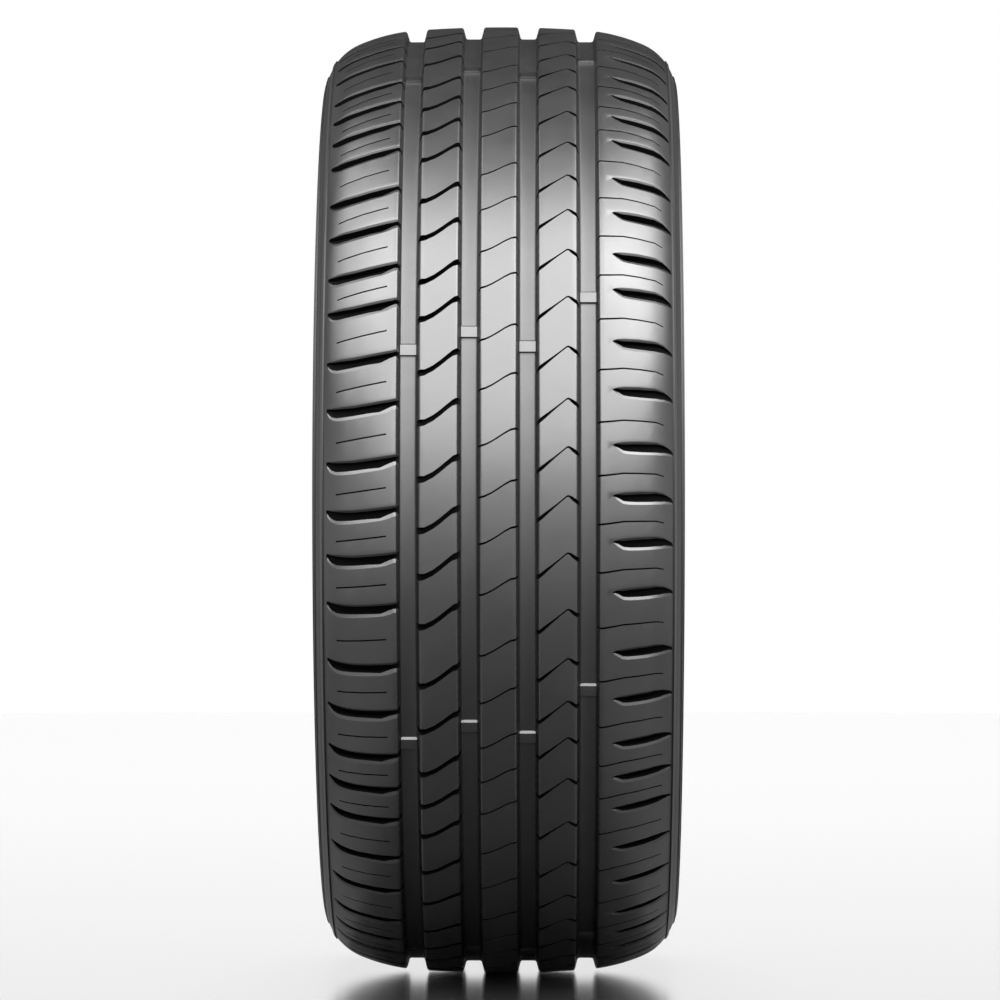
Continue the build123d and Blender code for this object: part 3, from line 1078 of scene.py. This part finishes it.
class TYRE_OT_stage(bpy.types.Operator):
    """Set up the floor, backdrop, lamps and camera"""

    bl_idname = "tyre.stage"
    bl_label = "Stage"

    def execute(self, context):
        scene, look = context.scene, context.scene.studio_look
        scene.view_settings.view_transform = "Standard"
        self.floor(look)
        self.backdrop(look)
        self.world(scene)
        lit = {name: bpy.data.collections.new("lit_" + name) for name in ("tyre", "floor")}
        for piece in scene.objects:
            if piece.type == "MESH":
                lit["floor" if piece.name in ("floor", "backdrop") else "tyre"].objects.link(piece)
        for name, receiver, at, target, size, share in LAMPS:
            lamp = self.softbox(name, at, target, size, look.light_power * share)
            lamp.light_linking.receiver_collection = lit[receiver]
            lamp.visible_glossy = receiver == "tyre"
        self.camera(scene, look)
        return {"FINISHED"}

    def add_stage(self, name, work, material):
        """A piece of the stage, moved down to the foot of the tyre."""
        bmesh.ops.translate(work, verts=work.verts, vec=(0, 0, CAD_LOW.z))
        mesh = bpy.data.meshes.new(name)
        work.to_mesh(mesh)
        work.free()
        mesh.materials.append(material)
        return add_object(name, mesh)

    def floor(self, look):
        """A round satin floor, which mirrors the backdrop where it is seen at a low angle."""
        material, tree = new_material("floor_paint")
        skin = add_node(tree, "ShaderNodeBsdfPrincipled", {
            "Base Color": look.floor_colour, "Roughness": 0.18,
            "Coat Weight": 1.0, "Coat Roughness": 0.16})
        add_node(tree, "ShaderNodeOutputMaterial", {"Surface": skin})
        work = bmesh.new()
        bmesh.ops.create_circle(work, cap_ends=True, segments=STAGE_SIDES, radius=STAGE_RADIUS)
        floor = self.add_stage("floor", work, material)

    def backdrop(self, look):
        """A low round wall, white from inside to the camera and to reflections, clear outside."""
        material, tree = new_material("backdrop_paint")
        path = add_node(tree, "ShaderNodeLightPath").outputs
        seen = maths(tree, "MAXIMUM", path["Is Camera Ray"], path["Is Glossy Ray"])
        seen = maths(tree, "MAXIMUM", seen, path["Is Transmission Ray"])
        paint = add_node(tree, "ShaderNodeBsdfDiffuse", {"Color": look.floor_colour})
        glow = add_node(tree, "ShaderNodeEmission", {"Color": (1, 1, 1, 1), "Strength": 1.0})
        white = add_node(tree, "ShaderNodeMixShader", {0: seen, 1: paint, 2: glow})
        facing = add_node(tree, "ShaderNodeNewGeometry").outputs["Backfacing"]
        clear = add_node(tree, "ShaderNodeBsdfTransparent")
        one_sided = add_node(tree, "ShaderNodeMixShader", {0: facing, 1: white, 2: clear})
        add_node(tree, "ShaderNodeOutputMaterial", {"Surface": one_sided})
        work = bmesh.new()
        bmesh.ops.create_cone(work, cap_ends=False, segments=STAGE_SIDES, radius1=STAGE_RADIUS,
                              radius2=STAGE_RADIUS, depth=WALL_HEIGHT)
        bmesh.ops.reverse_faces(work, faces=work.faces)
        bmesh.ops.translate(work, verts=work.verts, vec=(0, 0, WALL_HEIGHT / 2))
        wall = self.add_stage("backdrop", work, material)
        wall.visible_shadow = False

    def world(self, scene):
        """A faint even light from all round."""
        world = bpy.data.worlds.new("studio")
        world.use_nodes = True
        sky = world.node_tree.nodes["Background"]
        sky.inputs["Color"].default_value = (AMBIENT, AMBIENT, AMBIENT, 1)
        scene.world = world

    def softbox(self, name, at, target, size, power):
        """A softbox turned to what it lights, out of the camera's sight."""
        lamp = bpy.data.lights.new(name, "AREA")
        lamp.shape = "RECTANGLE"
        lamp.size, lamp.size_y = size
        lamp.energy = power
        box = add_object(name, lamp)
        box.location = at
        box.rotation_euler = (Vector(target) - Vector(at)).to_track_quat("-Z", "Y").to_euler()
        box.visible_camera = False
        return box

    def camera(self, scene, look):
        """The camera in front of the tread, about level with the wheel's centre."""
        lens = bpy.data.cameras.new("camera")
        lens.lens = look.camera_lens
        lens.sensor_width = 36
        camera = add_object("camera", lens)
        level = math.cos(look.camera_elevation)
        away = Vector((level * math.cos(look.camera_azimuth), level * math.sin(look.camera_azimuth),
                       math.sin(look.camera_elevation)))
        aside = Vector((0, look.camera_aside, 0))
        camera.location = away * look.camera_distance + aside
        camera.rotation_euler = (-away).to_track_quat("-Z", "Y").to_euler()
        scene.camera = camera


class TYRE_PT_panel(bpy.types.Panel):
    """Lists the pieces of the tyre and their settings"""

    bl_idname = "TYRE_PT_panel"
    bl_label = "Road Tyre"
    bl_space_type = "VIEW_3D"
    bl_region_type = "UI"
    bl_category = "Tyre"

    def draw(self, context):
        layout = self.layout
        for operator in OPERATORS:
            layout.operator(operator.bl_idname)
        for name in SETTINGS:
            group = getattr(context.scene, name)
            box = layout.box()
            box.label(text=group.bl_rna.description)
            for key in group.__annotations__:
                box.prop(group, key)


OPERATORS = (TYRE_OT_moulding, TYRE_OT_wear_bars, TYRE_OT_stage)
SETTINGS = {
    "tyre_sizes": TyreSizes,
    "tread_pattern": TreadPattern,
    "rubber_finish": RubberFinish,
    "studio_look": StudioLook,
}


def register():
    for kind in (*SETTINGS.values(), *OPERATORS, TYRE_PT_panel):
        bpy.utils.register_class(kind)
    for name, kind in SETTINGS.items():
        setattr(bpy.types.Scene, name, PointerProperty(type=kind))


def unregister():
    for name in SETTINGS:
        delattr(bpy.types.Scene, name)
    for kind in (TYRE_PT_panel, *reversed(OPERATORS), *reversed(SETTINGS.values())):
        bpy.utils.unregister_class(kind)


def main():
    register()
    bpy.ops.tyre.moulding()
    bpy.ops.tyre.wear_bars()
    bpy.ops.tyre.stage()


if __name__ == "__main__":
    main()
